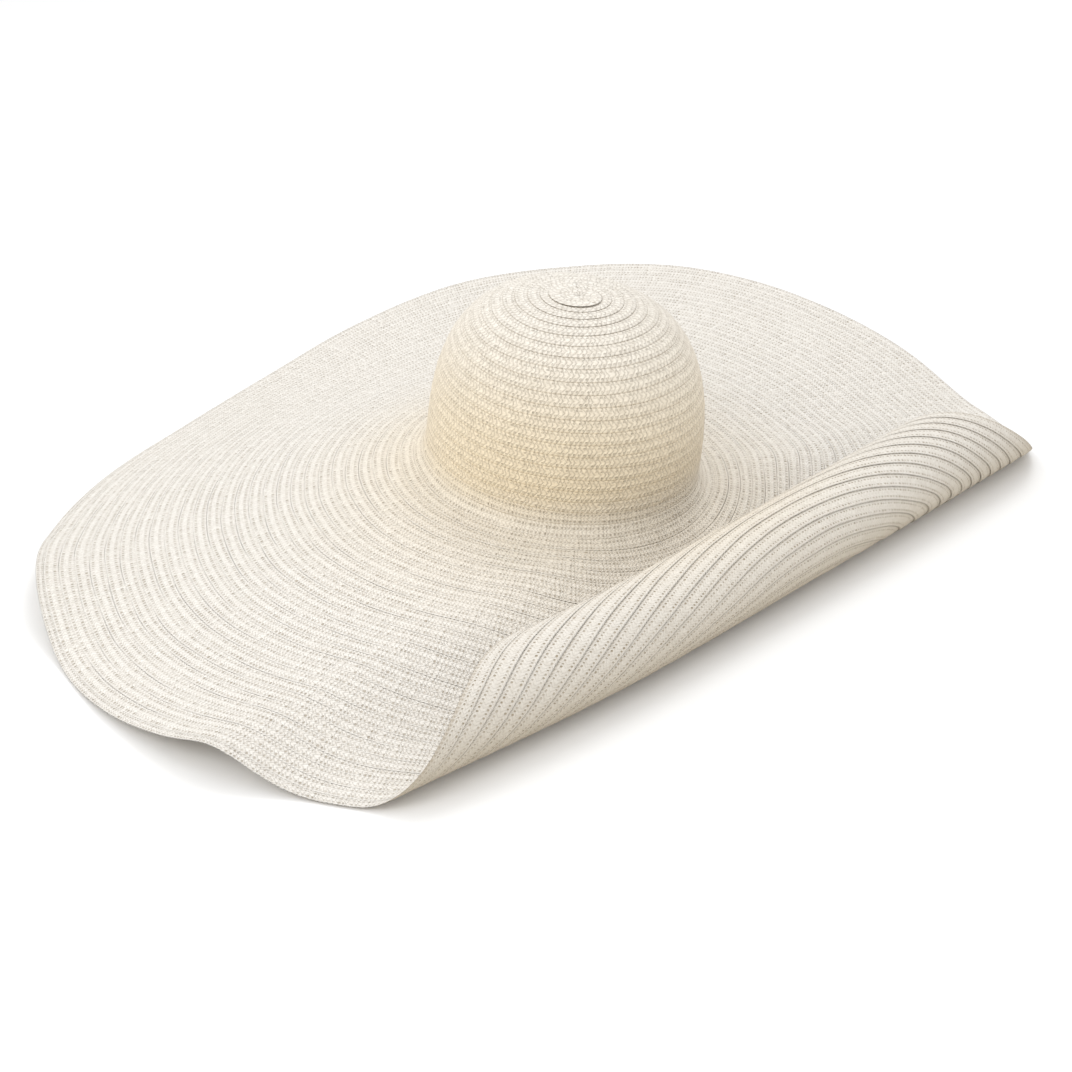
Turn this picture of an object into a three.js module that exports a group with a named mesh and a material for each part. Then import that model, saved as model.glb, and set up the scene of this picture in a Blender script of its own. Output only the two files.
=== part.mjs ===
// Wide-brim sun hat, sewn from one straw braid that spirals from the crown's tip to the brim's edge.
// It rests on a flat surface as it would by itself: the front of the brim is rolled up and back
// towards the crown, and the rest of the brim waves a little and falls away behind.
// Millimetres, +Z up, +X towards the rolled front, +Y along the roll.
// The origin is on the rest surface, under the middle of the whole hat's box.
import * as THREE from 'three';

// Straw wall and the gap between neighbouring pieces
const brimWall = 2;
const crownWall = 2;
const tipWall = 2.6;
const pieceGap = 0.3;

// Crown, round the head
const headLength = 194;
const headWidth = 169;
const crownHeight = 126;
const domeSquareness = 3.0;
const crownTiltDeg = 7.3;
const tipShift = 8.5;
const tipRadius = 18;

// Brim, measured in plan from the foot of the crown
const footHeight = 40;
const backBrim = 244;
const sideBrim = 270;
const frontBrim = 235;
const flareHeight = 17;
const flareReach = 17;
const footReach = 44;
const edgeLift = 60;
const brimFall = 1.3;

// Rolled front: the line where the brim leaves the surface, and the roll's two radii
const rollLine = 176;
const rollRadius = 28;
const innerRadiusShare = 0.75;
const outerTurnDeg = 205;
const restStrip = 14;
const frontSlope = 78;
const frontTrim = 0.996;
const endPull = 0.0005;

// Waves of the edge by azimuth from +X: height off the surface as a share of edgeLift, and a power
// for their reach inwards, where a high one keeps a wave near the edge
const edgeWaves = [
  { azimuth: 0, lift: 0.12, reach: 1.3 },
  { azimuth: 45, lift: 0.10, reach: 1.3 },
  { azimuth: 63, lift: 0.02, reach: 1.3 },
  { azimuth: 72, lift: 0.03, reach: 1.3 },
  { azimuth: 84, lift: 0.35, reach: 1.3 },
  { azimuth: 96, lift: 0.63, reach: 1.3 },
  { azimuth: 108, lift: 0.86, reach: 1.3 },
  { azimuth: 120, lift: 0.99, reach: 1.4 },
  { azimuth: 135, lift: 0.97, reach: 1.5 },
  { azimuth: 150, lift: 0.87, reach: 1.6 },
  { azimuth: 165, lift: 0.55, reach: 1.8 },
  { azimuth: 180, lift: 0.18, reach: 2.2 },
  { azimuth: 195, lift: 0.01, reach: 3 },
  { azimuth: 210, lift: 0.05, reach: 4 },
  { azimuth: 225, lift: 0.17, reach: 4.5 },
  { azimuth: 240, lift: 0.37, reach: 4.5 },
  { azimuth: 255, lift: 0.02, reach: 4.5 },
  { azimuth: 267, lift: 0.06, reach: 4.5 },
  { azimuth: 276, lift: 0.19, reach: 4.5 },
  { azimuth: 285, lift: 0.36, reach: 4.5 },
  { azimuth: 294, lift: 0.25, reach: 4 },
  { azimuth: 303, lift: 0.27, reach: 3 },
  { azimuth: 318, lift: 0.24, reach: 2 },
];

// The roll at stations along it: place as a share of the side reach, line and radius as shares
const rollSections = [
  { along: -0.85, line: 0.88, radius: 0.98 },
  { along: -0.42, line: 0.98, radius: 0.97 },
  { along: 0.00, line: 1.00, radius: 1.00 },
  { along: 0.42, line: 1.01, radius: 1.06 },
  { along: 0.85, line: 1.01, radius: 1.10 },
];

// Facets
const aroundSteps = 88;
const frontShare = 0.42;
const crownRings = 8;
const tipRings = 3;
const flareRings = 3;
const footRings = 2;
const flatRings = 7;
const rollRings = 20;
const searchSteps = 40;

// Values that follow from the sizes
const radian = Math.PI / 180;
const halfLength = (headLength + crownWall) / 2;
const halfWidth = (headWidth + crownWall) / 2;
const crownTilt = crownTiltDeg * radian;
const backReach = halfLength + backBrim;
const frontReach = halfLength + frontBrim;
const sideReach = halfWidth + sideBrim;
const outerTurn = outerTurnDeg * radian;
const upwards = new THREE.Vector3(0, 0, 1);

function smoothStep(x) {
  const u = Math.min(Math.max(x, 0), 1);
  return u * u * (3 - 2 * u);
}

// The place between low and high where a test stops being true
function lastPlace(low, high, test) {
  let from = low;
  let to = high;
  for (let i = 0; i < searchSteps; i++) {
    const middle = (from + to) / 2;
    if (test(middle)) from = middle;
    else to = middle;
  }
  return (from + to) / 2;
}

// Smooth curve through a column of a table; with a period, the table's end runs on into its start
function tableValue(rows, at, column, x, period = 0) {
  const n = rows.length;
  const row = (i) => (period ? rows[((i % n) + n) % n] : rows[Math.min(Math.max(i, 0), n - 1)]);
  const key = (i) => row(i)[at] + period * Math.floor(i / n);
  const slope = (i) => {
    const width = key(i + 1) - key(i - 1);
    return width > 0 ? (row(i + 1)[column] - row(i - 1)[column]) / width : 0;
  };
  const place = period ? ((x % period) + period) % period : Math.min(Math.max(x, key(0)), key(n - 1));
  let i = 0;
  while (i < n - (period ? 1 : 2) && key(i + 1) <= place) i++;
  const span = key(i + 1) - key(i);
  const u = (place - key(i)) / span;
  const from = row(i)[column];
  const to = row(i + 1)[column];
  const rise = to - from;
  const first = slope(i) * span;
  const last = slope(i + 1) * span;
  return from + u * (first + u * (3 * rise - 2 * first - last + u * (first + last - 2 * rise)));
}

// Middle of the crown's wall: share 0 at the tip, 1 at the foot, by azimuth
function crownPoint(azimuth, share) {
  const turn = (share * Math.PI) / 2;
  const reach = Math.sin(turn) ** (2 / domeSquareness);
  const rise = crownHeight * Math.cos(turn) ** (2 / domeSquareness);
  const x = halfLength * reach * Math.cos(azimuth);
  const y = halfWidth * reach * Math.sin(azimuth);
  return new THREE.Vector3(
    x * Math.cos(crownTilt) + rise * Math.sin(crownTilt) + (tipShift * rise) / crownHeight,
    y,
    footHeight - x * Math.sin(crownTilt) + rise * Math.cos(crownTilt),
  );
}

// The crown share whose ring has this mean radius, and the one where the flare begins
function crownShareAt(radius) {
  const reach = radius / Math.sqrt(halfLength * halfWidth);
  return Math.asin(reach ** (domeSquareness / 2)) / (Math.PI / 2);
}

function wallShare() {
  const rise = flareHeight / crownHeight;
  return Math.acos(rise ** (domeSquareness / 2)) / (Math.PI / 2);
}

// One azimuth of the brim in plan: its foot on the crown, its edge, and the flare's share of it
function brimRay(azimuth) {
  const foot = crownPoint(azimuth, 1);
  const reach = Math.cos(azimuth) > 0 ? frontReach : backReach;
  const edge = new THREE.Vector2(reach * Math.cos(azimuth), sideReach * Math.sin(azimuth));
  const flare = flareReach / Math.hypot(edge.x - foot.x, edge.y - foot.y);
  const plan = (out) => new THREE.Vector2(
    foot.x + (edge.x - foot.x) * out,
    foot.y + (edge.y - foot.y) * out,
  );
  const wave = (column) => tableValue(edgeWaves, 'azimuth', column, azimuth / radian, 360);
  return { azimuth, foot, edge, flare, plan, lift: edgeLift * wave('lift'), reach: wave('reach') };
}

// Where the roll starts and how round it is, at one place along it
function rollAt(y) {
  const along = y / sideReach;
  return {
    line: rollLine * tableValue(rollSections, 'along', 'line', along),
    radius: rollRadius * tableValue(rollSections, 'along', 'radius', along),
  };
}

// Bends what lies past the roll's line into a scroll: a wide outer turn, then a tighter inner one.
// Towards +Y the scroll is pulled in along the roll, more so higher up its turn.
function rolledPoint(x, y) {
  const { line, radius } = rollAt(y);
  const beyond = Math.max(x - line, 0);
  const inner = radius * innerRadiusShare;
  const turn = Math.min(beyond / radius, outerTurn);
  const more = turn + Math.max(beyond - outerTurn * radius, 0) / inner;
  const hub = radius - (more > turn ? inner : radius);
  const hubX = line + hub * Math.sin(outerTurn);
  const hubZ = radius - hub * Math.cos(outerTurn) + brimWall / 2;
  const reach = radius - hub;
  const pull = endPull * Math.max(y, 0) ** 2 * smoothStep(turn / Math.PI);
  return new THREE.Vector3(hubX + reach * Math.sin(more), y - pull, hubZ - reach * Math.cos(more));
}

// Middle of the brim's wall: out is 0 at the crown's foot and 1 at the edge. In front the brim
// comes down to a strip that lies flat on the rest surface, just behind the roll's line.
function brimPoint(ray, out) {
  const { x, y } = ray.plan(out);
  const { line } = rollAt(y);
  if (x > line) return rolledPoint(x, y);
  const fall = ray.foot.z + (brimWall / 2 - ray.foot.z) * out ** brimFall;
  const free = fall + ray.lift * out ** ray.reach;
  const down = smoothStep((x - (line - restStrip - frontSlope)) / frontSlope);
  return new THREE.Vector3(x, y, free + (brimWall / 2 - free) * down);
}

// Flare: a smooth corner from the crown's wall to the brim, turn 0 on the wall and 1 on the brim
function flarePoint(ray, turn) {
  return new THREE.Vector3()
    .addScaledVector(crownPoint(ray.azimuth, wallShare()), (1 - turn) ** 2)
    .addScaledVector(ray.foot, 2 * turn * (1 - turn))
    .addScaledVector(brimPoint(ray, ray.flare), turn ** 2);
}

function spread(from, to, count) {
  return Array.from({ length: count }, (_, i) => from + ((to - from) * i) / count);
}

// Rays round the hat, with one at each end of the roll's line; the front ones come first
function allRays() {
  const ends = [-1, 1].map((side) => lastPlace(0, Math.PI / 2, (azimuth) => {
    const { edge } = brimRay(side * azimuth);
    return edge.x > rollAt(edge.y).line;
  }));
  const frontCount = Math.round(aroundSteps * frontShare);
  const front = spread(-ends[0], ends[1], frontCount);
  const back = spread(ends[1], 2 * Math.PI - ends[0], aroundSteps - frontCount);
  return { rays: [...front, ...back].map(brimRay), frontCount };
}

// How far out a front ray comes within a distance of the roll's line
function shareBefore(ray, distance) {
  return lastPlace(0, 1, (out) => {
    const { x, y } = ray.plan(out);
    return x < rollAt(y).line - distance;
  });
}

// Directions square to a grid of points, pointing to the hat's outside
function gridNormals(grid, closed) {
  const rows = grid.length;
  const columns = grid[0].length;
  const point = (r, c) => {
    const row = grid[Math.min(Math.max(r, 0), rows - 1)];
    return row[closed ? (c + columns) % columns : Math.min(Math.max(c, 0), columns - 1)];
  };
  return grid.map((row, r) => row.map((_, c) => {
    const along = new THREE.Vector3().subVectors(point(r, c + 1), point(r, c - 1));
    const out = new THREE.Vector3().subVectors(point(r + 1, c), point(r - 1, c));
    return out.cross(along).normalize();
  }));
}

// A closed wall built from skins of points and the quads between them
class Shell {
  constructor() {
    this.positions = [];
    this.index = [];
  }

  add(point) {
    this.positions.push(point.x, point.y, point.z);
    return this.positions.length / 3 - 1;
  }

  skin(grid, normals, offset) {
    return grid.map((row, r) => row.map((point, c) => (
      this.add(point.clone().addScaledVector(normals[r][c], offset))
    )));
  }

  quad(a, b, c, d) {
    this.index.push(a, b, c, a, c, d);
  }

  // Both faces of the wall between ring r and the next, from column c to column d
  cell(outer, inner, r, c, d) {
    this.quad(outer[r][c], outer[r + 1][c], outer[r + 1][d], outer[r][d]);
    this.quad(inner[r][d], inner[r + 1][d], inner[r + 1][c], inner[r][c]);
  }

  // The wall's rim along ring r, facing the grid's last ring or its first
  rim(outer, inner, r, c, d) {
    this.quad(outer[r][c], inner[r][c], inner[r][d], outer[r][d]);
  }

  geometry() {
    const geometry = new THREE.BufferGeometry();
    geometry.setAttribute('position', new THREE.Float32BufferAttribute(this.positions, 3));
    geometry.setIndex(this.index);
    geometry.computeVertexNormals();
    return geometry;
  }
}

// Tip: the coiled start of the braid, a low button that closes the crown
function tipGeometry() {
  const shell = new Shell();
  const azimuths = spread(0, 2 * Math.PI, aroundSteps / 2);
  const edgeShare = crownShareAt(tipRadius);
  const grid = Array.from({ length: tipRings }, (_, ring) => (
    azimuths.map((azimuth) => crownPoint(azimuth, (edgeShare * (ring + 1)) / tipRings))
  ));
  const normals = gridNormals(grid, true);
  const outer = shell.skin(grid, normals, tipWall - crownWall / 2);
  const inner = shell.skin(grid, normals, -crownWall / 2);
  const peak = crownPoint(0, 0);
  const axis = new THREE.Vector3(Math.sin(crownTilt), 0, Math.cos(crownTilt));
  const outerPole = shell.add(peak.clone().addScaledVector(axis, tipWall - crownWall / 2));
  const innerPole = shell.add(peak.clone().addScaledVector(axis, -crownWall / 2));
  azimuths.forEach((_, c) => {
    const d = (c + 1) % azimuths.length;
    shell.index.push(outerPole, outer[0][c], outer[0][d]);
    shell.index.push(innerPole, inner[0][d], inner[0][c]);
    for (let r = 0; r < tipRings - 1; r++) shell.cell(outer, inner, r, c, d);
    shell.rim(outer, inner, tipRings - 1, c, d);
  });
  return shell.geometry();
}

// Crown: dome and side wall round the head, open below, from the tip's rim down to the flare
function crownGeometry() {
  const shell = new Shell();
  const { rays } = allRays();
  const first = crownShareAt(tipRadius + pieceGap);
  const last = wallShare();
  const grid = Array.from({ length: crownRings + 1 }, (_, r) => (
    rays.map((ray) => crownPoint(ray.azimuth, first + ((last - first) * r) / crownRings))
  ));
  const normals = gridNormals(grid, true);
  const outer = shell.skin(grid, normals, crownWall / 2);
  const inner = shell.skin(grid, normals, -crownWall / 2);
  rays.forEach((_, c) => {
    const d = (c + 1) % rays.length;
    for (let r = 0; r < crownRings; r++) shell.cell(outer, inner, r, c, d);
    shell.rim(outer, inner, crownRings, c, d);
    shell.rim(outer, inner, 0, d, c);
  });
  return shell.geometry();
}

// Foot: the rows at the crown's foot that turn from its side wall out into the brim
function footGeometry() {
  const shell = new Shell();
  const { rays } = allRays();
  const firstTurn = pieceGap / (2 * flareHeight);
  const shares = [...spread(flareReach, footReach, footRings), footReach];
  const grid = [
    ...spread(firstTurn, 1, flareRings).map((turn) => rays.map((ray) => flarePoint(ray, turn))),
    ...shares.map((reach) => rays.map((ray) => brimPoint(ray, (ray.flare * reach) / flareReach))),
  ];
  const normals = gridNormals(grid, true);
  const outer = shell.skin(grid, normals, brimWall / 2);
  const inner = shell.skin(grid, normals, -brimWall / 2);
  const lastRing = grid.length - 1;
  rays.forEach((_, c) => {
    const d = (c + 1) % rays.length;
    for (let r = 0; r < lastRing; r++) shell.cell(outer, inner, r, c, d);
    shell.rim(outer, inner, lastRing, c, d);
    shell.rim(outer, inner, 0, d, c);
  });
  return shell.geometry();
}

// Rings of the brim from the foot's rim out to the edge or, in front, to the roll's line
function brimRings(rays, frontCount) {
  const rings = [];
  const stops = rays.map((ray, i) => {
    const strip = (restStrip * ray.flare) / flareReach;
    if (i > frontCount) return { flat: 1 - strip, end: 1 };
    return { flat: shareBefore(ray, restStrip), end: i % frontCount ? shareBefore(ray, 0) : 1 };
  });
  for (let r = 0; r < flatRings; r++) {
    rings.push(rays.map((ray, i) => {
      const first = (ray.flare * (footReach + pieceGap)) / flareReach;
      return brimPoint(ray, first + ((stops[i].flat - first) * r) / (flatRings - 1));
    }));
  }
  rings.push(rays.map((ray, i) => brimPoint(ray, stops[i].end)));
  return rings;
}

// Rows of the rolled front, each parallel to the roll, from its line to the free edge inside it
function rollRows(chord) {
  const halfChord = (x) => sideReach * Math.sqrt(Math.max(1 - (x / frontReach) ** 2, 0));
  return Array.from({ length: rollRings + 1 }, (_, r) => chord.map((start) => {
    const x = start.x + ((frontReach * frontTrim - start.x) * r) / rollRings;
    return rolledPoint(x, (start.y * halfChord(x)) / halfChord(start.x));
  }));
}

// Brim: rings and rolled rows share the points on the roll's line and make one closed wall
function brimGeometry() {
  const shell = new Shell();
  const { rays, frontCount } = allRays();
  const rings = brimRings(rays, frontCount);
  const lastRing = rings.length - 1;
  const rows = rollRows(rings[lastRing].slice(0, frontCount + 1));
  const ringNormals = gridNormals(rings, true);
  const rowNormals = gridNormals(rows, false);
  for (let c = 0; c <= frontCount; c++) {
    ringNormals[lastRing][c] = upwards;
    ringNormals[lastRing - 1][c] = upwards;
  }
  const outer = shell.skin(rings, ringNormals, brimWall / 2);
  const inner = shell.skin(rings, ringNormals, -brimWall / 2);
  const rolled = (skin, offset) => [
    skin[lastRing].slice(0, frontCount + 1),
    ...shell.skin(rows.slice(1), rowNormals.slice(1), offset),
  ];
  const over = rolled(outer, brimWall / 2);
  const under = rolled(inner, -brimWall / 2);
  rays.forEach((_, c) => {
    const d = (c + 1) % rays.length;
    for (let r = 0; r < lastRing; r++) shell.cell(outer, inner, r, c, d);
    shell.rim(outer, inner, 0, d, c);
    if (c >= frontCount) shell.rim(outer, inner, lastRing, c, d);
  });
  for (let c = 0; c < frontCount; c++) {
    for (let r = 0; r < rollRings; r++) shell.cell(over, under, r, c, c + 1);
    shell.rim(over, under, rollRings, c, c + 1);
  }
  for (let r = 0; r < rollRings; r++) {
    shell.quad(over[r + 1][0], over[r][0], under[r][0], under[r + 1][0]);
    const c = frontCount;
    shell.quad(over[r][c], over[r + 1][c], under[r + 1][c], under[r][c]);
  }
  return shell.geometry();
}

function strawMesh(name, geometry, color) {
  const straw = new THREE.MeshStandardMaterial({ color, roughness: 0.8, metalness: 0 });
  const mesh = new THREE.Mesh(geometry, straw);
  mesh.name = name;
  return mesh;
}

const hat = new THREE.Group();
hat.add(strawMesh('crown_tip', tipGeometry(), 0xf0e8d8));
hat.add(strawMesh('crown', crownGeometry(), 0xe9dcc0));
hat.add(strawMesh('crown_foot', footGeometry(), 0xeae0ca));
hat.add(strawMesh('brim', brimGeometry(), 0xeeeae2));
const box = new THREE.Box3().setFromObject(hat, true);
hat.position.set(-(box.min.x + box.max.x) / 2, -(box.min.y + box.max.y) / 2, -box.min.z);

export default hat;
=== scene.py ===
import math

import bpy
import numpy as np
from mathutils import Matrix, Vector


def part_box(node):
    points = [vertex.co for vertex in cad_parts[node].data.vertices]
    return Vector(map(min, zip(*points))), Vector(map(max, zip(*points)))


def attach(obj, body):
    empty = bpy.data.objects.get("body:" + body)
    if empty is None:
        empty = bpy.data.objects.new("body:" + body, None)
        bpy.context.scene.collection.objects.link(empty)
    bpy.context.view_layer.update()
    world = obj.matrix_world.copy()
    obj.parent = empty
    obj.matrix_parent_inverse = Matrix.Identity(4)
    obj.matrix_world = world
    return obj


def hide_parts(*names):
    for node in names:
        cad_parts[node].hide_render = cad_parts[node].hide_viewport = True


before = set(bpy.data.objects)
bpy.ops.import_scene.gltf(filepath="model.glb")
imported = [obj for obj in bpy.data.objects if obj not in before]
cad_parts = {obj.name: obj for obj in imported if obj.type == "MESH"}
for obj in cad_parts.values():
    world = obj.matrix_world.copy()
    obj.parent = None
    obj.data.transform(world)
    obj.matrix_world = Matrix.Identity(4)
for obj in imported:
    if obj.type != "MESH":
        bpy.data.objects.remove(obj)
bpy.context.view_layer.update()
print("frame loaded")

# Shape of the hat in metres and degrees, as the frame has it
hatShape = {
    "wall": 0.002,
    "headLength": 0.194,
    "headWidth": 0.169,
    "crownHeight": 0.126,
    "domeSquareness": 3.0,
    "crownTiltDeg": 7.3,
    "tipShift": 0.0085,
    "footHeight": 0.040,
    "backBrim": 0.244,
    "sideBrim": 0.270,
    "frontBrim": 0.235,
    "flareHeight": 0.017,
    "flareReach": 0.017,
    "edgeLift": 0.060,
    "brimFall": 1.3,
    "rollLine": 0.176,
    "rollRadius": 0.028,
    "innerRadiusShare": 0.75,
    "outerTurnDeg": 205,
    "restStrip": 0.014,
    "frontSlope": 0.078,
    "endPull": 0.5,
    "edgeInside": 0.0002,  # how far the solid's faceted edge lies inside the smooth one
}

# Waves of the edge by azimuth: height as a share of edgeLift, and a power for their reach inwards
edgeWaves = [
    (0, 0.12, 1.3), (45, 0.10, 1.3), (63, 0.02, 1.3), (72, 0.03, 1.3), (84, 0.35, 1.3),
    (96, 0.63, 1.3), (108, 0.86, 1.3), (120, 0.99, 1.4), (135, 0.97, 1.5), (150, 0.87, 1.6),
    (165, 0.55, 1.8), (180, 0.18, 2.2), (195, 0.01, 3), (210, 0.05, 4), (225, 0.17, 4.5),
    (240, 0.37, 4.5), (255, 0.02, 4.5), (267, 0.06, 4.5), (276, 0.19, 4.5), (285, 0.36, 4.5),
    (294, 0.25, 4), (303, 0.27, 3), (318, 0.24, 2),
]

# The roll along its length: place, line and radius as shares
rollSections = [
    (-0.85, 0.88, 0.98), (-0.42, 0.98, 0.97), (0.0, 1.0, 1.0), (0.42, 1.01, 1.06), (0.85, 1.01, 1.10),
]

# Rows of the braid are counted out from the tip, and the spiral runs clockwise seen from above
spiral = {
    "crownRows": 20.95,
    "brimRows": 28.6,
    "startAzimuthDeg": 48.4,
    "halfOverRow": 0.6,  # half the braid's width in rows, over 0.5 as each row laps the next
    "rollLap": 1.15,
    "rowSlide": 0.035,  # on the roll the rows slide along it, most in its middle, not at its ends
    "slideReach": 0.30,
    "slidePower": 1.5,
    "stepsPerRow": 720,
    "poleRow": 0.3,  # inside this row the braid curls round the pole and isn't measured or lapped
    "nearestPole": 0.03,
    "lapWithin": 0.9,
    "rollLapWithin": 0.03,
    "wideFrom": 0.95,
    "wideWithin": 0.4,
    "sway": 0.035,
    "swayFrom": 2,
    "swayStart": 3.7,
    "unevenness": 0.00006,
    "floorGap": 0.00005,
}
lastRow = spiral["crownRows"] + spiral["brimRows"]

halfLength = (hatShape["headLength"] + hatShape["wall"]) / 2
halfWidth = (hatShape["headWidth"] + hatShape["wall"]) / 2
crownTilt = math.radians(hatShape["crownTiltDeg"])
outerTurn = math.radians(hatShape["outerTurnDeg"])
sideReach = halfWidth + hatShape["sideBrim"]
frontReach = halfLength + hatShape["frontBrim"]
backReach = halfLength + hatShape["backBrim"]
brimLow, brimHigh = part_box("brim")
crownX = brimLow.x + backReach - hatShape["edgeInside"]
crownAxis = np.array([crownX, (brimLow.y + brimHigh.y) / 2, 0.0])


# Smooth curve through a table's column
def tableValue(rows, column, place, period=0):
    keys = np.array([row[0] for row in rows], float)
    values = np.array([row[column] for row in rows], float)
    if period:
        keys = np.concatenate([keys[-2:] - period, keys, keys[:2] + period])
        values = np.concatenate([values[-2:], values, values[:2]])
        place = np.mod(place, period)
    place = np.clip(place, keys[0], keys[-1])
    slopes = np.empty(len(keys))
    slopes[1:-1] = (values[2:] - values[:-2]) / (keys[2:] - keys[:-2])
    slopes[0] = (values[1] - values[0]) / (keys[1] - keys[0])
    slopes[-1] = (values[-1] - values[-2]) / (keys[-1] - keys[-2])
    i = np.clip(np.searchsorted(keys, place, side="right") - 1, 0, len(keys) - 2)
    span = keys[i + 1] - keys[i]
    u = (place - keys[i]) / span
    rise = values[i + 1] - values[i]
    first = slopes[i] * span
    last = slopes[i + 1] * span
    return values[i] + u * (first + u * (3 * rise - 2 * first - last + u * (first + last - 2 * rise)))


def smoothStep(x):
    u = np.clip(x, 0, 1)
    return u * u * (3 - 2 * u)


# The crown, from its tip at share 0 to its foot at share 1
def crownPoint(azimuth, share):
    height = hatShape["crownHeight"]
    power = 2 / hatShape["domeSquareness"]
    reach = np.sin(share * math.pi / 2) ** power
    rise = height * np.clip(np.cos(share * math.pi / 2), 0, 1) ** power
    x = halfLength * reach * np.cos(azimuth)
    y = halfWidth * reach * np.sin(azimuth)
    return np.stack([
        x * math.cos(crownTilt) + rise * math.sin(crownTilt) + hatShape["tipShift"] * rise / height,
        y,
        hatShape["footHeight"] - x * math.sin(crownTilt) + rise * math.cos(crownTilt),
    ], -1)


# Where the crown's wall ends and the curve out into the brim starts
def wallShare():
    rise = hatShape["flareHeight"] / hatShape["crownHeight"]
    return math.acos(rise ** (hatShape["domeSquareness"] / 2)) / (math.pi / 2)


def rollAt(y):
    along = y / sideReach
    line = hatShape["rollLine"] * tableValue(rollSections, 1, along)
    return line, hatShape["rollRadius"] * tableValue(rollSections, 2, along)


# What lies past the roll's line, bent into a scroll that is pulled in along the roll towards +Y
def rolledPoint(x, y):
    line, radius = rollAt(y)
    beyond = np.maximum(x - line, 0)
    inner = radius * hatShape["innerRadiusShare"]
    turn = np.minimum(beyond / radius, outerTurn)
    more = turn + np.maximum(beyond - outerTurn * radius, 0) / inner
    hub = np.where(more > turn, radius - inner, 0)
    hubX = line + hub * math.sin(outerTurn)
    hubZ = radius - hub * math.cos(outerTurn) + hatShape["wall"] / 2
    reach = radius - hub
    pull = hatShape["endPull"] * np.maximum(y, 0) ** 2 * smoothStep(turn / math.pi)
    return np.stack([hubX + reach * np.sin(more), y - pull, hubZ - reach * np.cos(more)], -1)


def brimEdge(azimuth):
    reach = np.where(np.cos(azimuth) > 0, frontReach, backReach)
    return np.stack([reach * np.cos(azimuth), sideReach * np.sin(azimuth)], -1)


def flareShare(azimuth):
    foot = crownPoint(azimuth, np.ones_like(azimuth))
    return hatShape["flareReach"] / np.linalg.norm(brimEdge(azimuth) - foot[..., :2], axis=-1)


# The brim, from the crown's foot at out 0 to its edge at out 1
def brimPoint(azimuth, out, slide=0):
    foot = crownPoint(azimuth, np.ones_like(azimuth))
    edge = brimEdge(azimuth)
    x = foot[..., 0] + (edge[..., 0] - foot[..., 0]) * out
    y = foot[..., 1] + (edge[..., 1] - foot[..., 1]) * out
    half = hatShape["wall"] / 2
    lift = hatShape["edgeLift"] * tableValue(edgeWaves, 1, np.degrees(azimuth), 360)
    reach = tableValue(edgeWaves, 2, np.degrees(azimuth), 360)
    fall = foot[..., 2] + (half - foot[..., 2]) * out ** hatShape["brimFall"]
    free = fall + lift * out ** reach
    line, radius = rollAt(y)
    slope = hatShape["frontSlope"]
    down = smoothStep((x - (line - hatShape["restStrip"] - slope)) / slope)
    flat = np.stack([x, y, free + (half - free) * down], -1)
    middle = np.clip(1 - (y / spiral["slideReach"]) ** 2, 0, 1) ** spiral["slidePower"]
    slid = y + slide * middle * smoothStep((x - line) / (radius * math.pi / 2))
    return np.where((x > line)[..., None], rolledPoint(x, slid), flat)


def flarePoint(azimuth, turn):
    t = turn[..., None]
    wall = crownPoint(azimuth, np.full_like(azimuth, wallShare()))
    foot = crownPoint(azimuth, np.ones_like(azimuth))
    return wall * (1 - t) ** 2 + foot * 2 * t * (1 - t) + brimPoint(azimuth, flareShare(azimuth)) * t ** 2


# How finely the surface is laid out
surfaceGrid = {"columns": 900, "perRow": 8, "crown": 160, "flare": 14, "brim": 260, "tipCrowding": 1.5}


# The whole surface as a grid: azimuth by row of the braid, rows evenly spaced along each profile
def rowGrid():
    columns = surfaceGrid["columns"]
    azimuths = np.arange(columns) * 2 * math.pi / columns
    crownSteps = np.linspace(0, 1, surfaceGrid["crown"]) ** surfaceGrid["tipCrowding"] * wallShare()
    flareSteps = np.linspace(0, 1, surfaceGrid["flare"])
    brimSteps = np.linspace(0, 1, surfaceGrid["brim"])
    az, t = np.meshgrid(azimuths, crownSteps, indexing="ij")
    dome = crownPoint(az, t)
    az, t = np.meshgrid(azimuths, flareSteps, indexing="ij")
    flare = flarePoint(az, t)
    az, t = np.meshgrid(azimuths, brimSteps, indexing="ij")
    start = flareShare(az)
    outs = start + (1 - start) * t
    outer = np.concatenate([flare, brimPoint(az, outs)[:, 1:]], 1)
    slidOuter = np.concatenate([flare, brimPoint(az, outs, spiral["rowSlide"])[:, 1:]], 1)
    count = int(round(lastRow * surfaceGrid["perRow"])) + 1
    rows = np.arange(count) / surfaceGrid["perRow"]
    grid = np.empty((columns, count, 3))
    onCrown = rows <= spiral["crownRows"]
    for part, measured, where, low, span in (
        (dome, dome, onCrown, 0, spiral["crownRows"]),
        (slidOuter, outer, ~onCrown, spiral["crownRows"], spiral["brimRows"]),
    ):
        steps = np.linalg.norm(np.diff(measured, axis=1), axis=-1)
        arc = np.concatenate([np.zeros((columns, 1)), np.cumsum(steps, 1)], 1)
        wanted = (rows[where] - low) / span
        for i in range(columns):
            for axis in range(3):
                grid[i, where, axis] = np.interp(wanted * arc[i, -1], arc[i], part[i, :, axis])
    outward = np.gradient(grid, axis=1)
    around = np.roll(grid, -1, 0) - np.roll(grid, 1, 0)
    normals = np.cross(outward, around)
    normals[:, 0] = normals[:, 1:3].mean((0, 1))
    normals /= np.linalg.norm(normals, axis=-1, keepdims=True)
    return grid + crownAxis, normals


gridPoints, gridNormals = rowGrid()
print("surface laid out")


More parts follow.
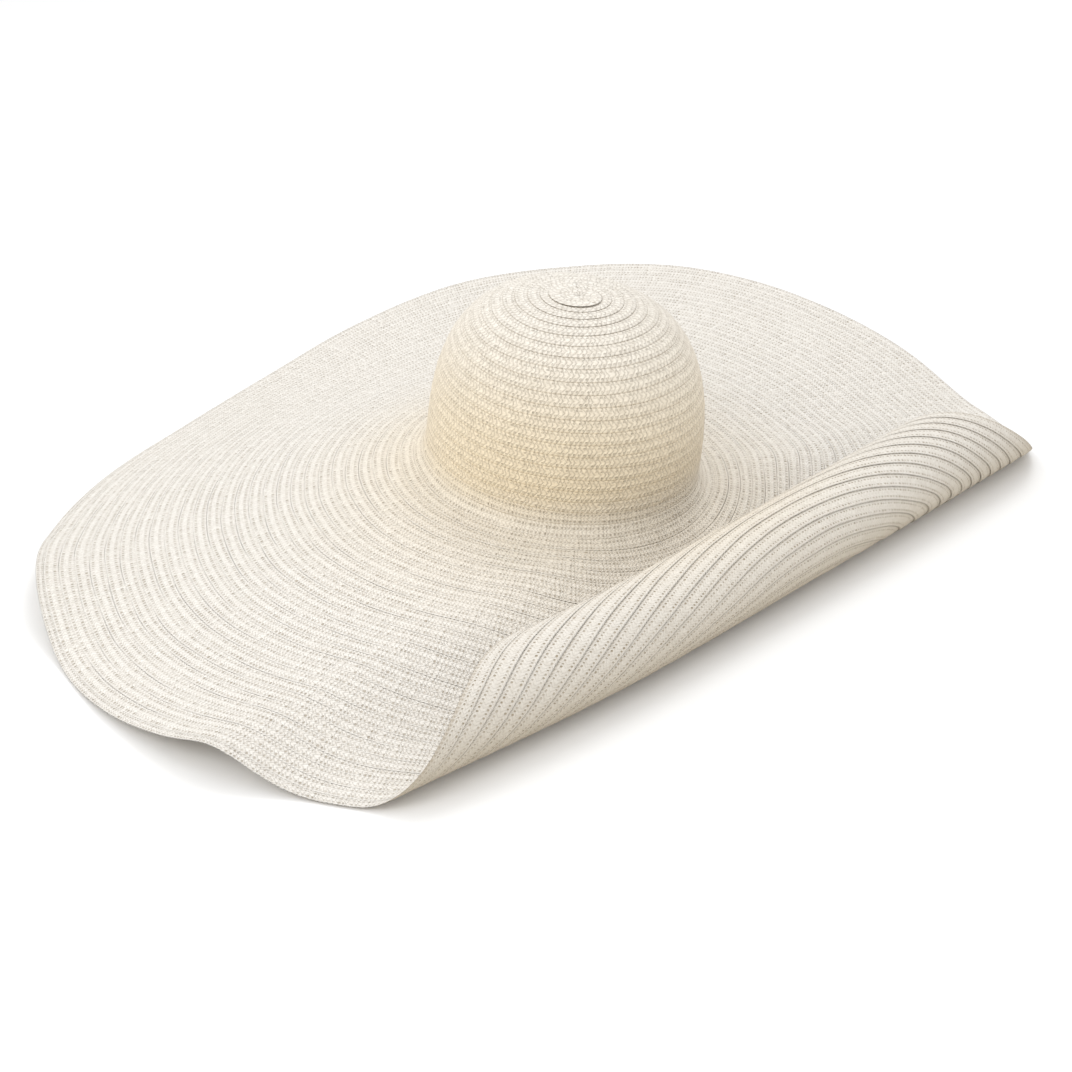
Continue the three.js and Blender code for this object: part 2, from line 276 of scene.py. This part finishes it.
# Place and normal on the surface, between the grid's points
def surfaceAt(azimuth, row):
    columns = surfaceGrid["columns"]
    a = np.mod(azimuth / (2 * math.pi), 1) * columns
    r = np.clip(row, 0, lastRow - 0.001) * surfaceGrid["perRow"]
    i = np.floor(a).astype(int)
    j = np.minimum(np.floor(r).astype(int), gridPoints.shape[1] - 2)
    fa = (a - i)[..., None]
    fr = (r - j)[..., None]
    i = i % columns
    n = (i + 1) % columns

    def mix(grid):
        near = grid[i, j] * (1 - fr) + grid[i, j + 1] * fr
        far = grid[n, j] * (1 - fr) + grid[n, j + 1] * fr
        return near * (1 - fa) + far * fa

    normal = mix(gridNormals)
    return mix(gridPoints), normal / np.linalg.norm(normal, axis=-1, keepdims=True)


# Three slow waves along the braid in radians per metre, and where each starts
slowWaves = [(41, 0), (97, 1.3), (23.7, 4.1)]


# Slow waver along the braid, as from sewing by hand
def handMade(along, amount):
    waver = sum(np.sin(along * often + start) for often, start in slowWaves)
    return amount * waver / 2


def azimuthAt(row):
    return math.radians(spiral["startAzimuthDeg"]) - 2 * math.pi * row


# Points round the braid at each step along it, with the way along for each step
def braidPoints(shape, section, lift):
    rowFrom = shape["fromRow"]
    rowTo = shape["toRow"]
    fine = np.linspace(rowFrom, rowTo, int((rowTo - rowFrom) * spiral["stepsPerRow"]) + 2)
    centres = surfaceAt(azimuthAt(fine), np.maximum(fine, spiral["poleRow"]))[0]
    lengths = np.concatenate([[0], np.cumsum(np.linalg.norm(np.diff(centres, axis=0), axis=1))])
    along = np.linspace(0, lengths[-1], int(lengths[-1] / shape["step"]) + 1)
    rows = np.interp(along, lengths, fine)
    across = np.array([a for a, h in section])
    height = np.array([h for a, h in section])
    # The last turn narrows until it ends flush with the edge
    over = spiral["halfOverRow"]
    last = np.clip(rows - (lastRow - over), 0, 1)
    wide = shape["widerRows"] * smoothStep((rows - rowTo + spiral["wideFrom"]) / spiral["wideWithin"])
    sway = handMade(along + spiral["swayStart"], spiral["sway"])
    sway = sway * smoothStep((rows - spiral["swayFrom"]) / 2) * (1 - last)
    place = (rows - last / 2 + wide / 2 + sway)[:, None]
    place = place + across[None, :] * (over - last / 2 + wide / 2)[:, None]
    azimuth = np.broadcast_to(azimuthAt(rows)[:, None], place.shape)
    points, normals = surfaceAt(azimuth, np.maximum(place, spiral["nearestPole"]))
    # Each row tilts, its outer edge up, to lap over the next one, and more so on the roll
    lapRise = np.interp(rows, [rowFrom, rowTo], shape["laps"])[:, None]
    pastLine = points[..., 0] - crownAxis[0] - hatShape["rollLine"]
    onRoll = smoothStep(pastLine / spiral["rollLapWithin"] + 0.5)
    lapRise = lapRise + (spiral["rollLap"] - lapRise) * onRoll
    thick = shape["thickness"]
    lapped = smoothStep((rows[:, None] - spiral["poleRow"]) / spiral["lapWithin"])
    lap = lapRise * thick * (place - rows[:, None]) * lapped
    rise = lap + thick / 2 * height[None, :]
    rise = rise + handMade(along, spiral["unevenness"])[:, None]
    if lift is not None:
        rise = rise + lift(azimuth, rows[:, None], across[None, :])
    points = points + normals * rise[..., None]
    points[..., 2] = np.maximum(points[..., 2], spiral["floorGap"])
    return points, along


# One piece of the braid as a closed flat tube, with a UV map that the plait follows
def braidPiece(name, shape, section, lift=None):
    points, along = braidPoints(shape, section, lift)
    count = len(along)
    sides = len(section)
    i, j = np.meshgrid(np.arange(count - 1), np.arange(sides), indexing="ij")
    k = (j + 1) % sides
    quads = np.stack([i * sides + j, (i + 1) * sides + j, (i + 1) * sides + k, i * sides + k], -1)
    quads = quads.reshape(-1, 4)
    startCap = list(range(sides))
    endCap = [(count - 1) * sides + s for s in reversed(range(sides))]
    mesh = bpy.data.meshes.new(name)
    mesh.from_pydata(points.reshape(-1, 3).tolist(), [], quads.tolist() + [startCap, endCap])
    # UV: metres along the braid, and the way across it, 0 to 1 on the outside and 2 to 3 on the inside
    shareAcross = (np.array([a for a, h in section]) + 1) / 2
    top = j < sides // 2
    u = np.stack([along[i], along[i + 1], along[i + 1], along[i]], -1)
    v = np.stack([shareAcross[j], shareAcross[j], shareAcross[k], shareAcross[k]], -1)
    v = np.where(top[..., None], v, 3 - v)
    uv = np.stack([u, v], -1).reshape(-1, 2)
    uv = np.concatenate([uv, np.full((2 * sides, 2), 0.5)])
    mesh.uv_layers.new(name="UVMap")
    mesh.uv_layers["UVMap"].data.foreach_set("uv", uv.astype(np.float32).ravel())
    mesh.polygons.foreach_set("use_smooth", [True] * len(mesh.polygons))
    mesh.update()
    piece = bpy.data.objects.new(name, mesh)
    bpy.context.scene.collection.objects.link(piece)
    print(name, "made,", len(mesh.polygons) * 2, "triangles")
    return piece


# Sections of the braid as shares of half its width and half its thickness
plainSection = [
    (-1, 0), (-0.8, 0.8), (0, 1.1), (0.8, 0.8), (1, 0), (0.8, -0.8), (0, -1.1), (-0.8, -0.8),
]
roundSection = [
    (-1, 0), (-0.9, 0.8), (-0.45, 1.02), (0, 1.08), (0.45, 1.02), (0.9, 0.8),
    (1, 0), (0.9, -0.8), (0.45, -1.02), (0, -1.08), (-0.45, -1.02), (-0.9, -0.8),
]

# The tip's button: its last row stands off the crown towards the front left, where its edge shows
tipShape = {
    "fromRow": -0.42,
    "toRow": 1.755,
    "step": 0.0014,
    "thickness": 0.00085,
    "laps": (0.9, 0.9),
    "widerRows": 0.32,
    "standsOff": 0.0005,
    "lift": 0.0003,
    "liftFrom": 0.4,
    "liftWithin": 0.5,
    "endWithin": 0.2,
    "towardsDeg": 328,
    "spreadDeg": 100,
}


def tipLift(azimuth, rows, across):
    away = np.abs(np.mod(np.degrees(azimuth) - tipShape["towardsDeg"] + 180, 360) - 180)
    facing = smoothStep(1 - away / tipShape["spreadDeg"])
    lastTurn = smoothStep((rows - tipShape["liftFrom"]) / tipShape["liftWithin"])
    lastTurn = lastTurn * smoothStep((tipShape["toRow"] - rows) / tipShape["endWithin"])
    return (tipShape["standsOff"] * facing * (across + 1) / 2 + tipShape["lift"]) * lastTurn


tipBraid = braidPiece("braid_tip", tipShape, roundSection, tipLift)

# The crown's dome and wall, a hair's breadth past the tip's end
crownShape = {
    "fromRow": tipShape["toRow"] + 0.0006,
    "toRow": 20.755,
    "step": 0.0026,
    "thickness": 0.00085,
    "laps": (0.9, 0.66),
    "widerRows": 0,
}
crownBraid = braidPiece("braid_crown", crownShape, roundSection)

# The crown's foot and the brim, out past the last row until the braid ends flush with the edge
brimShape = {
    "fromRow": crownShape["toRow"] + 0.0003,
    "toRow": lastRow + 0.37,
    "step": 0.0041,
    "thickness": 0.00065,
    "laps": (0.36, 0.36),
    "widerRows": 0,
}
brimBraid = braidPiece("braid_brim", brimShape, plainSection)

# Straw of the whole hat: colours, a warm tint round the crown's foot that is the straw's tone with painted
# shade, painted shade low on the inside, and how strongly each effect shows
straw = {
    "ivory": (0.865, 0.833, 0.78, 1),
    # Warm straw tone that also carries painted shade on the crown's low front
    "warmToneAndShade": (0.905, 0.768, 0.545, 1),
    # Dark colour for the straw's own holes, tone and grain, and for painted shade
    "darkToneAndShade": (0.36, 0.29, 0.20, 1),
    # Taupe for painted shade on the hat's inside
    "paintedUnderShade": (0.50, 0.43, 0.32, 1),
    "warmTowardsDeg": -43,
    "warmOut": 0.03,
    "warmUp": 0.05,
    "warmReach": 0.22,
    "warmShare": 1.2,
    "warmHeights": (0.09, 0.195),
    "footShare": 0.42,
    "footHeights": (0.034, 0.066),
    "paintedUnderShadeHeight": 0.06,
    "paintedUnderShadeShares": (0.95, 0.18),
    "slant": 0.8,
    "waver": 0.34,
    "holesInside": 0.8,
    # Painted shadow beside each lap, on the outside and on the inside
    "lapShadow": 0.12,
    "lapShadowInside": 0.5,
    # Painted shade in the grooves between strands
    "grooveShade": 0.22,
    "zigzagInside": 0.6,
    "tone": 0.10,
    "blotches": 0.05,
    "blotchScale": 22.0,
    "grain": 0.6,
    "grainScale": 420.0,
    "bumpDistance": 0.0006,
    "bumpStrength": 0.9,
    "roughness": 0.72,
}

# Each straw's own plait: stitch in metres, columns of strands across the braid, and its holes
crownLook = {"stitch": 0.0031, "columns": 2.0, "slots": 3.2, "holes": 0.3, "texture": 1.1}
brimLook = {"stitch": 0.0026, "columns": 4.0, "slots": 2.0, "holes": 0.56, "texture": 0.8}

# The plait itself, in shares of the braid's width and of a stitch
plaitShape = {
    "covered": 0.167,  # the part across that the next row in laps over
    "wanderScale": 0.6,
    "wanderStitches": 4.0,
    "strandRoundness": 0.6,
    "holeLine": 0.26,
    "holeSizes": (0.1, 0.31),
    "dotsInside": 1.25,
    "gapeSpread": 2.2,
    "gapeUsual": 0.85,
    "gapeLeast": 0.15,
    # Width and stitch notch of the painted shadow beside each lap
    "lapShadowWidth": (-0.02, 0.14),
    "lapShadowNotch": 3.2,
    "bulge": 0.35,
    "holeDepth": 1.2,
}


def addNode(tree, kind, place, settings=None, values=None):
    node = tree.nodes.new(kind)
    node.location = place
    for key, value in (settings or {}).items():
        setattr(node, key, value)
    for key, value in (values or {}).items():
        if hasattr(value, "is_output"):
            tree.links.new(value, node.inputs[key])
        else:
            node.inputs[key].default_value = value
    return node


def math2(tree, operation, first, second, place, third=None):
    values = {0: first, 1: second}
    if third is not None:
        values[2] = third
    return addNode(tree, "ShaderNodeMath", place, {"operation": operation}, values).outputs[0]


# Smooth change from one share to another while a value goes from one limit to the other
def smoothRange(tree, value, limits, shares, place):
    return addNode(tree, "ShaderNodeMapRange", place, {"interpolation_type": "SMOOTHSTEP"}, {
        "Value": value, "From Min": limits[0], "From Max": limits[1],
        "To Min": shares[0], "To Max": shares[1],
    }).outputs[0]


def noiseAt(tree, where, scale, detail, place):
    values = {"Vector": where, "Scale": scale, "Detail": detail}
    return addNode(tree, "ShaderNodeTexNoise", place, None, values).outputs[0]


def mixColour(tree, share, first, second, place):
    values = {0: share, 6: first, 7: second}
    return addNode(tree, "ShaderNodeMix", place, {"data_type": "RGBA"}, values).outputs[2]


# Plait of the braid from its UV: strands zigzag across it, with a line of small holes near each edge. It also
# gives masks for painted shade in the grooves and painted shadow beside each lap
def plaitGroup():
    tree = bpy.data.node_groups.new("strawPlait", "ShaderNodeTree")
    face = tree.interface
    for name, value in (
        ("Along", 0), ("Across", 0), ("Stitch", 0.003), ("Columns", 2),
        ("Slots", 3), ("Slant", 0.8), ("Waver", 0.3),
    ):
        socket = face.new_socket(name=name, in_out="INPUT", socket_type="NodeSocketFloat")
        socket.default_value = value
    for name in ("Height", "Holes", "Seam", "GrooveShade", "Tone", "Under"):
        face.new_socket(name=name, in_out="OUTPUT", socket_type="NodeSocketFloat")
    given = addNode(tree, "NodeGroupInput", (-1800, 0)).outputs
    # Across runs from 0 to 1 on the hat's outside and from 2 to 3 on its inside
    under = math2(tree, "GREATER_THAN", given["Across"], 1.5, (-1600, -300))
    across = math2(tree, "MULTIPLY_ADD", under, -2.0, (-1400, -200), given["Across"])
    seen = math2(tree, "SUBTRACT", across, plaitShape["covered"], (-1200, -200))
    seen = math2(tree, "DIVIDE", seen, 1 - plaitShape["covered"], (-1000, -200))
    # Stitches along the braid, a little uneven
    steps = math2(tree, "DIVIDE", given["Along"], given["Stitch"], (-1600, 200))
    spot = addNode(tree, "ShaderNodeCombineXYZ", (-1400, 500), None, {"X": steps, "Y": across}).outputs[0]
    wander = noiseAt(tree, spot, plaitShape["wanderScale"], 1.5, (-1200, 500))
    wander = math2(tree, "SUBTRACT", wander, 0.5, (-1000, 500))
    drift = math2(tree, "MULTIPLY", wander, given["Waver"], (-900, 500))
    steps = math2(tree, "MULTIPLY_ADD", drift, plaitShape["wanderStitches"], (-800, 300), steps)
    # Strands lean one way in one column and back in the next
    column = math2(tree, "MULTIPLY", seen, given["Columns"], (-800, -100))
    column = math2(tree, "MULTIPLY_ADD", wander, given["Waver"], (-700, -100), column)
    zigzag = math2(tree, "PINGPONG", column, 1.0, (-600, -100))
    leaning = math2(tree, "MULTIPLY_ADD", zigzag, given["Slant"], (-400, 100), steps)
    fraction = math2(tree, "FRACT", leaning, 0.0, (-200, 100))
    angle = math2(tree, "MULTIPLY", fraction, math.pi, (0, 100))
    strand = math2(tree, "SINE", angle, 0.0, (200, 100))
    strand = math2(tree, "POWER", strand, plaitShape["strandRoundness"], (400, 100))
    # Painted shade in the grooves between strands
    grooveShade = math2(tree, "SUBTRACT", 1.0, strand, (600, 200))
    # Holes: how far this place is from the nearest one, in stitches
    line = math2(tree, "SUBTRACT", seen, 0.5, (-800, -500))
    line = math2(tree, "ABSOLUTE", line, 0.0, (-600, -500))
    line = math2(tree, "SUBTRACT", line, plaitShape["holeLine"], (-400, -500))
    # The holes are longer on the outside, round dots on the inside
    slot = math2(tree, "MULTIPLY_ADD", under, plaitShape["dotsInside"], (-400, -600), given["Slots"])
    wide = math2(tree, "MULTIPLY", line, slot, (-200, -500))
    wide = math2(tree, "ABSOLUTE", wide, 0.0, (-100, -500))
    wide = math2(tree, "POWER", wide, 2.0, (0, -500))
    tall = math2(tree, "PINGPONG", steps, 0.5, (-400, -700))
    tall = math2(tree, "POWER", tall, 2.0, (0, -700))
    apart = math2(tree, "ADD", wide, tall, (200, -500))
    apart = math2(tree, "SQRT", apart, 0.0, (400, -500))
    hole = smoothRange(tree, apart, plaitShape["holeSizes"], (1.0, 0.0), (600, -500))
    # Some holes are pulled nearly shut
    gape = math2(tree, "MULTIPLY_ADD", wander, plaitShape["gapeSpread"], (600, -650), plaitShape["gapeUsual"])
    gape = math2(tree, "MAXIMUM", gape, plaitShape["gapeLeast"], (700, -650))
    hole = math2(tree, "MULTIPLY", hole, gape, (800, -600))
    # Painted shadow beside the next row's edge, deeper at each stitch
    lapShadow = smoothRange(tree, seen, plaitShape["lapShadowWidth"], (1.0, 0.0), (600, -800))
    notch = math2(tree, "MULTIPLY_ADD", tall, -plaitShape["lapShadowNotch"], (600, -950), 1.0)
    lapShadow = math2(tree, "MULTIPLY", lapShadow, notch, (800, -850))
    # Height for the bump: each column bulges, and the holes are sunk
    edge = math2(tree, "PINGPONG", column, 0.5, (-400, -300))
    edge = math2(tree, "MULTIPLY", edge, math.pi, (0, -250))
    bulge = math2(tree, "SINE", edge, 0.0, (200, -250))
    height = math2(tree, "MULTIPLY_ADD", bulge, plaitShape["bulge"], (600, 0), strand)
    height = math2(tree, "MULTIPLY_ADD", hole, -plaitShape["holeDepth"], (800, 0), height)
    # Tone: each strand has its own
    whole = math2(tree, "FLOOR", leaning, 0.0, (-200, 300))
    which = math2(tree, "FLOOR", column, 0.0, (-200, 450))
    both = addNode(tree, "ShaderNodeCombineXYZ", (0, 350), None, {"X": whole, "Y": which}).outputs[0]
    own = addNode(tree, "ShaderNodeTexWhiteNoise", (200, 350), {"noise_dimensions": "3D"}, {"Vector": both})
    result = addNode(tree, "NodeGroupOutput", (1100, 0))
    for name, value in (
        ("Height", height), ("Holes", hole), ("Seam", lapShadow),
        ("GrooveShade", grooveShade), ("Tone", own.outputs[0]), ("Under", under),
    ):
        tree.links.new(value, result.inputs[name])
    return tree


# How near a place on the hat is to a centre, 1 there and 0 at the reach
def nearGroup():
    tree = bpy.data.node_groups.new("nearPlace", "ShaderNodeTree")
    face = tree.interface
    face.new_socket(name="Position", in_out="INPUT", socket_type="NodeSocketVector")
    face.new_socket(name="Centre", in_out="INPUT", socket_type="NodeSocketVector")
    face.new_socket(name="Reach", in_out="INPUT", socket_type="NodeSocketFloat")
    face.new_socket(name="Near", in_out="OUTPUT", socket_type="NodeSocketFloat")
    given = addNode(tree, "NodeGroupInput", (-600, 0)).outputs
    apart = addNode(tree, "ShaderNodeVectorMath", (-400, 0), {"operation": "DISTANCE"},
                    {0: given["Position"], 1: given["Centre"]}).outputs["Value"]
    near = smoothRange(tree, apart, (0.0, given["Reach"]), (1.0, 0.0), (-200, 0))
    result = addNode(tree, "NodeGroupOutput", (0, 0))
    tree.links.new(near, result.inputs["Near"])
    return tree


plait = plaitGroup()
nearPlace = nearGroup()
warmTowards = math.radians(straw["warmTowardsDeg"])
frontLeft = np.array([math.cos(warmTowards), math.sin(warmTowards), 0])
warmCentre = crownAxis + frontLeft * straw["warmOut"] + np.array([0, 0, straw["warmUp"]])


# Ivory straw, warm round the front of the crown's foot where the warm tone also carries painted shade, and a
# taupe painted shade low on the brim's inside
def strawColour(tree, under):
    position = addNode(tree, "ShaderNodeTexCoord", (-1800, 500)).outputs["Object"]
    near = addNode(tree, "ShaderNodeGroup", (-1400, 500), {"node_tree": nearPlace}, {
        "Position": position, "Centre": warmCentre.tolist(), "Reach": straw["warmReach"],
    }).outputs[0]
    height = addNode(tree, "ShaderNodeSeparateXYZ", (-1600, 700), None, {0: position}).outputs[2]
    # Warm tint, the straw's own tone with painted shade: strongest low on the crown's front, weaker on the
    # brim beside it
    low = smoothRange(tree, height, straw["warmHeights"], (straw["warmShare"], 0.0), (-1400, 700))
    foot = smoothRange(tree, height, straw["footHeights"], (straw["footShare"], 1.0), (-1400, 300))
    warmToneAndShadeShare = math2(tree, "MULTIPLY", low, foot, (-1300, 400))
    warmToneAndShadeShare = math2(tree, "MULTIPLY", near, warmToneAndShadeShare, (-1200, 500))
    base = mixColour(tree, warmToneAndShadeShare, straw["ivory"], straw["warmToneAndShade"], (-800, 500))
    # Painted shade on the hat's inside: taupe, most near the floor and a little everywhere higher up
    paintedUnderShadeShare = smoothRange(tree, height, (0.0, straw["paintedUnderShadeHeight"]), straw["paintedUnderShadeShares"], (-1400, 1300))
    paintedUnderShadeShare = math2(tree, "MULTIPLY", paintedUnderShadeShare, under, (-1000, 1300))
    blotches = noiseAt(tree, position, straw["blotchScale"], 3.0, (-1400, 900))
    grain = noiseAt(tree, position, straw["grainScale"], 2.0, (-1400, 1100))
    grain = math2(tree, "SUBTRACT", grain, 0.5, (-1200, 1100))
    return mixColour(tree, paintedUnderShadeShare, base, straw["paintedUnderShade"], (-600, 600)), blotches, grain


def strawMaterial(name, look):
    material = bpy.data.materials.new(name)
    material.use_nodes = True
    tree = material.node_tree
    tree.nodes.clear()
    uv = addNode(tree, "ShaderNodeUVMap", (-1800, 0), {"uv_map": "UVMap"}).outputs[0]
    parts = addNode(tree, "ShaderNodeSeparateXYZ", (-1600, 0), None, {0: uv}).outputs
    weave = addNode(tree, "ShaderNodeGroup", (-1400, 0), {"node_tree": plait}, {
        "Along": parts[0], "Across": parts[1], "Stitch": look["stitch"], "Columns": look["columns"],
        "Slots": look["slots"], "Slant": straw["slant"], "Waver": straw["waver"],
    }).outputs
    base, blotches, grain = strawColour(tree, weave["Under"])
    # Shares that differ between the hat's outside and its inside
    # Painted shadow beside each lap, stronger on the inside
    lapShadowMore = straw["lapShadowInside"] - straw["lapShadow"]
    lapShadowShare = math2(tree, "MULTIPLY_ADD", weave["Under"], lapShadowMore, (-1200, 100), straw["lapShadow"])
    holesMore = straw["holesInside"] - look["holes"]
    holeShare = math2(tree, "MULTIPLY_ADD", weave["Under"], holesMore, (-1200, 200), look["holes"])
    zigzagMore = straw["zigzagInside"] - 1
    zigzagShare = math2(tree, "MULTIPLY_ADD", weave["Under"], zigzagMore, (-1200, 0), 1.0)
    # How far the colour goes towards the dark colour: the straw's own holes, tone, grain and blotches, with
    # painted shade in the grooves and painted shadow beside each lap
    texture = look["texture"]
    dark = math2(tree, "MULTIPLY", weave["Holes"], holeShare, (-1000, 200))
    # Painted shade in the grooves between strands, less on the inside
    grooveShade = math2(tree, "MULTIPLY", weave["GrooveShade"], zigzagShare, (-1000, 0))
    dark = math2(tree, "MULTIPLY_ADD", grooveShade, straw["grooveShade"] * texture, (-800, 200), dark)
    dark = math2(tree, "MULTIPLY_ADD", weave["Seam"], lapShadowShare, (-700, 200), dark)
    dark = math2(tree, "MULTIPLY_ADD", weave["Tone"], straw["tone"] * texture, (-600, 200), dark)
    dark = math2(tree, "MULTIPLY_ADD", grain, straw["grain"] * texture, (-500, 200), dark)
    dark = math2(tree, "MULTIPLY_ADD", blotches, straw["blotches"], (-400, 200), dark)
    colour = mixColour(tree, dark, base, straw["darkToneAndShade"], (-200, 300))
    relief = math2(tree, "MULTIPLY", zigzagShare, texture, (-800, -200))
    relief = math2(tree, "MULTIPLY", weave["Height"], relief, (-600, -200))
    bump = addNode(tree, "ShaderNodeBump", (-200, -200), None, {
        "Height": relief, "Distance": straw["bumpDistance"], "Strength": straw["bumpStrength"],
    }).outputs[0]
    shader = addNode(tree, "ShaderNodeBsdfPrincipled", (100, 200), None, {
        "Base Color": colour, "Normal": bump, "Roughness": straw["roughness"],
    })
    result = addNode(tree, "ShaderNodeOutputMaterial", (400, 200))
    tree.links.new(shader.outputs[0], result.inputs[0])
    return material


crownStraw = strawMaterial("strawCrown", crownLook)
brimStraw = strawMaterial("strawBrim", brimLook)
for piece, material, nodes, slotName in (
    (tipBraid, crownStraw, ["crown_tip"], "straw_crown"),
    (crownBraid, crownStraw, ["crown"], "straw_crown"),
    (brimBraid, brimStraw, ["brim", "crown_foot"], "straw_brim"),
):
    piece.data.materials.append(material)
    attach(piece, "root")
    for node in nodes:
        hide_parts(node)
print("straw dressed")

# Stage: pale floor just under the hat, in a white surrounding
stage = {"floorSize": 16, "floorHeight": -0.0004, "floorWhite": 0.95, "brightness": 0.95}
bpy.ops.object.select_all(action="DESELECT")
bpy.ops.mesh.primitive_plane_add(size=stage["floorSize"], location=(0, 0, stage["floorHeight"]))
floor = bpy.context.object
floor.name = "floor"
bpy.ops.object.transform_apply(location=True, rotation=False, scale=False)
floorMaterial = bpy.data.materials.new("paleFloor")
floorMaterial.use_nodes = True
floorShader = floorMaterial.node_tree.nodes["Principled BSDF"]
floorShader.inputs["Base Color"].default_value = (*[stage["floorWhite"]] * 3, 1)
floorShader.inputs["Roughness"].default_value = 0.9
floor.data.materials.append(floorMaterial)

world = bpy.data.worlds.new("studio")
world.use_nodes = True
background = world.node_tree.nodes["Background"]
background.inputs["Color"].default_value = (1, 1, 1, 1)
background.inputs["Strength"].default_value = stage["brightness"]
bpy.context.scene.world = world
bpy.context.scene.view_settings.view_transform = "Standard"

# Soft lights: place, what each points at, width, power in watts and colour
softLights = {
    "overheadLight": ((-0.9, -0.35, 1.7), (0, 0, 0), 1.2, 2.5, (1.0, 0.985, 0.96)),
    "sideLight": ((-0.6, -1.9, 0.9), (0, 0, 0.05), 1.2, 4.0, (0.97, 0.98, 1.0)),
    "frontLight": ((0.3, -1.3, 1.3), (0.05, 0, 0.05), 0.9, 4.4, (1.0, 0.985, 0.95)),
    "backLight": ((-0.3, 1.0, 2.0), (-0.1, 0.25, 0), 0.9, 9, (1.0, 1.0, 1.0)),
}
for name, (place, target, width, power, colour) in softLights.items():
    light = bpy.data.lights.new(name, "AREA")
    light.shape = "DISK"
    light.size = width
    light.energy = power
    light.color = colour
    lamp = bpy.data.objects.new(name, light)
    bpy.context.scene.collection.objects.link(lamp)
    lamp.location = place
    lamp.rotation_mode = "QUATERNION"
    way = lamp.location - Vector(target)
    lamp.rotation_quaternion = way.to_track_quat("Z", "Y")

# Camera as in the photo: turned round the crown's axis, above the floor, and tilted a little
photoCamera = {
    "azimuthDeg": 46.651,
    "elevationDeg": 27.663,
    "rollDeg": -2.906,
    "distance": 1.18514,
    "sideways": -0.01867,
    "forwards": -0.03026,
    "lens": 58.708,
}
camAzimuth = math.radians(photoCamera["azimuthDeg"])
camElevation = math.radians(photoCamera["elevationDeg"])
camRoll = math.radians(photoCamera["rollDeg"])
backward = np.array([
    math.sin(camAzimuth) * math.cos(camElevation),
    -math.cos(camAzimuth) * math.cos(camElevation),
    math.sin(camElevation),
])
right = np.array([math.cos(camAzimuth), math.sin(camAzimuth), 0])
forward = np.array([-math.sin(camAzimuth), math.cos(camAzimuth), 0])
up = np.cross(backward, right)
rightRolled = math.cos(camRoll) * right + math.sin(camRoll) * up
upRolled = -math.sin(camRoll) * right + math.cos(camRoll) * up
aim = crownAxis + right * photoCamera["sideways"] + forward * photoCamera["forwards"]
eye = aim + backward * photoCamera["distance"]
camera = bpy.data.objects.new("camera", bpy.data.cameras.new("camera"))
bpy.context.scene.collection.objects.link(camera)
camera.data.sensor_width = 36
camera.data.lens = photoCamera["lens"]
camera.data.clip_start = 0.05
camera.data.clip_end = 50
camera.matrix_world = Matrix([
    [rightRolled[0], upRolled[0], backward[0], eye[0]],
    [rightRolled[1], upRolled[1], backward[1], eye[1]],
    [rightRolled[2], upRolled[2], backward[2], eye[2]],
    [0, 0, 0, 1],
])
bpy.context.scene.camera = camera
print("stage and camera set")
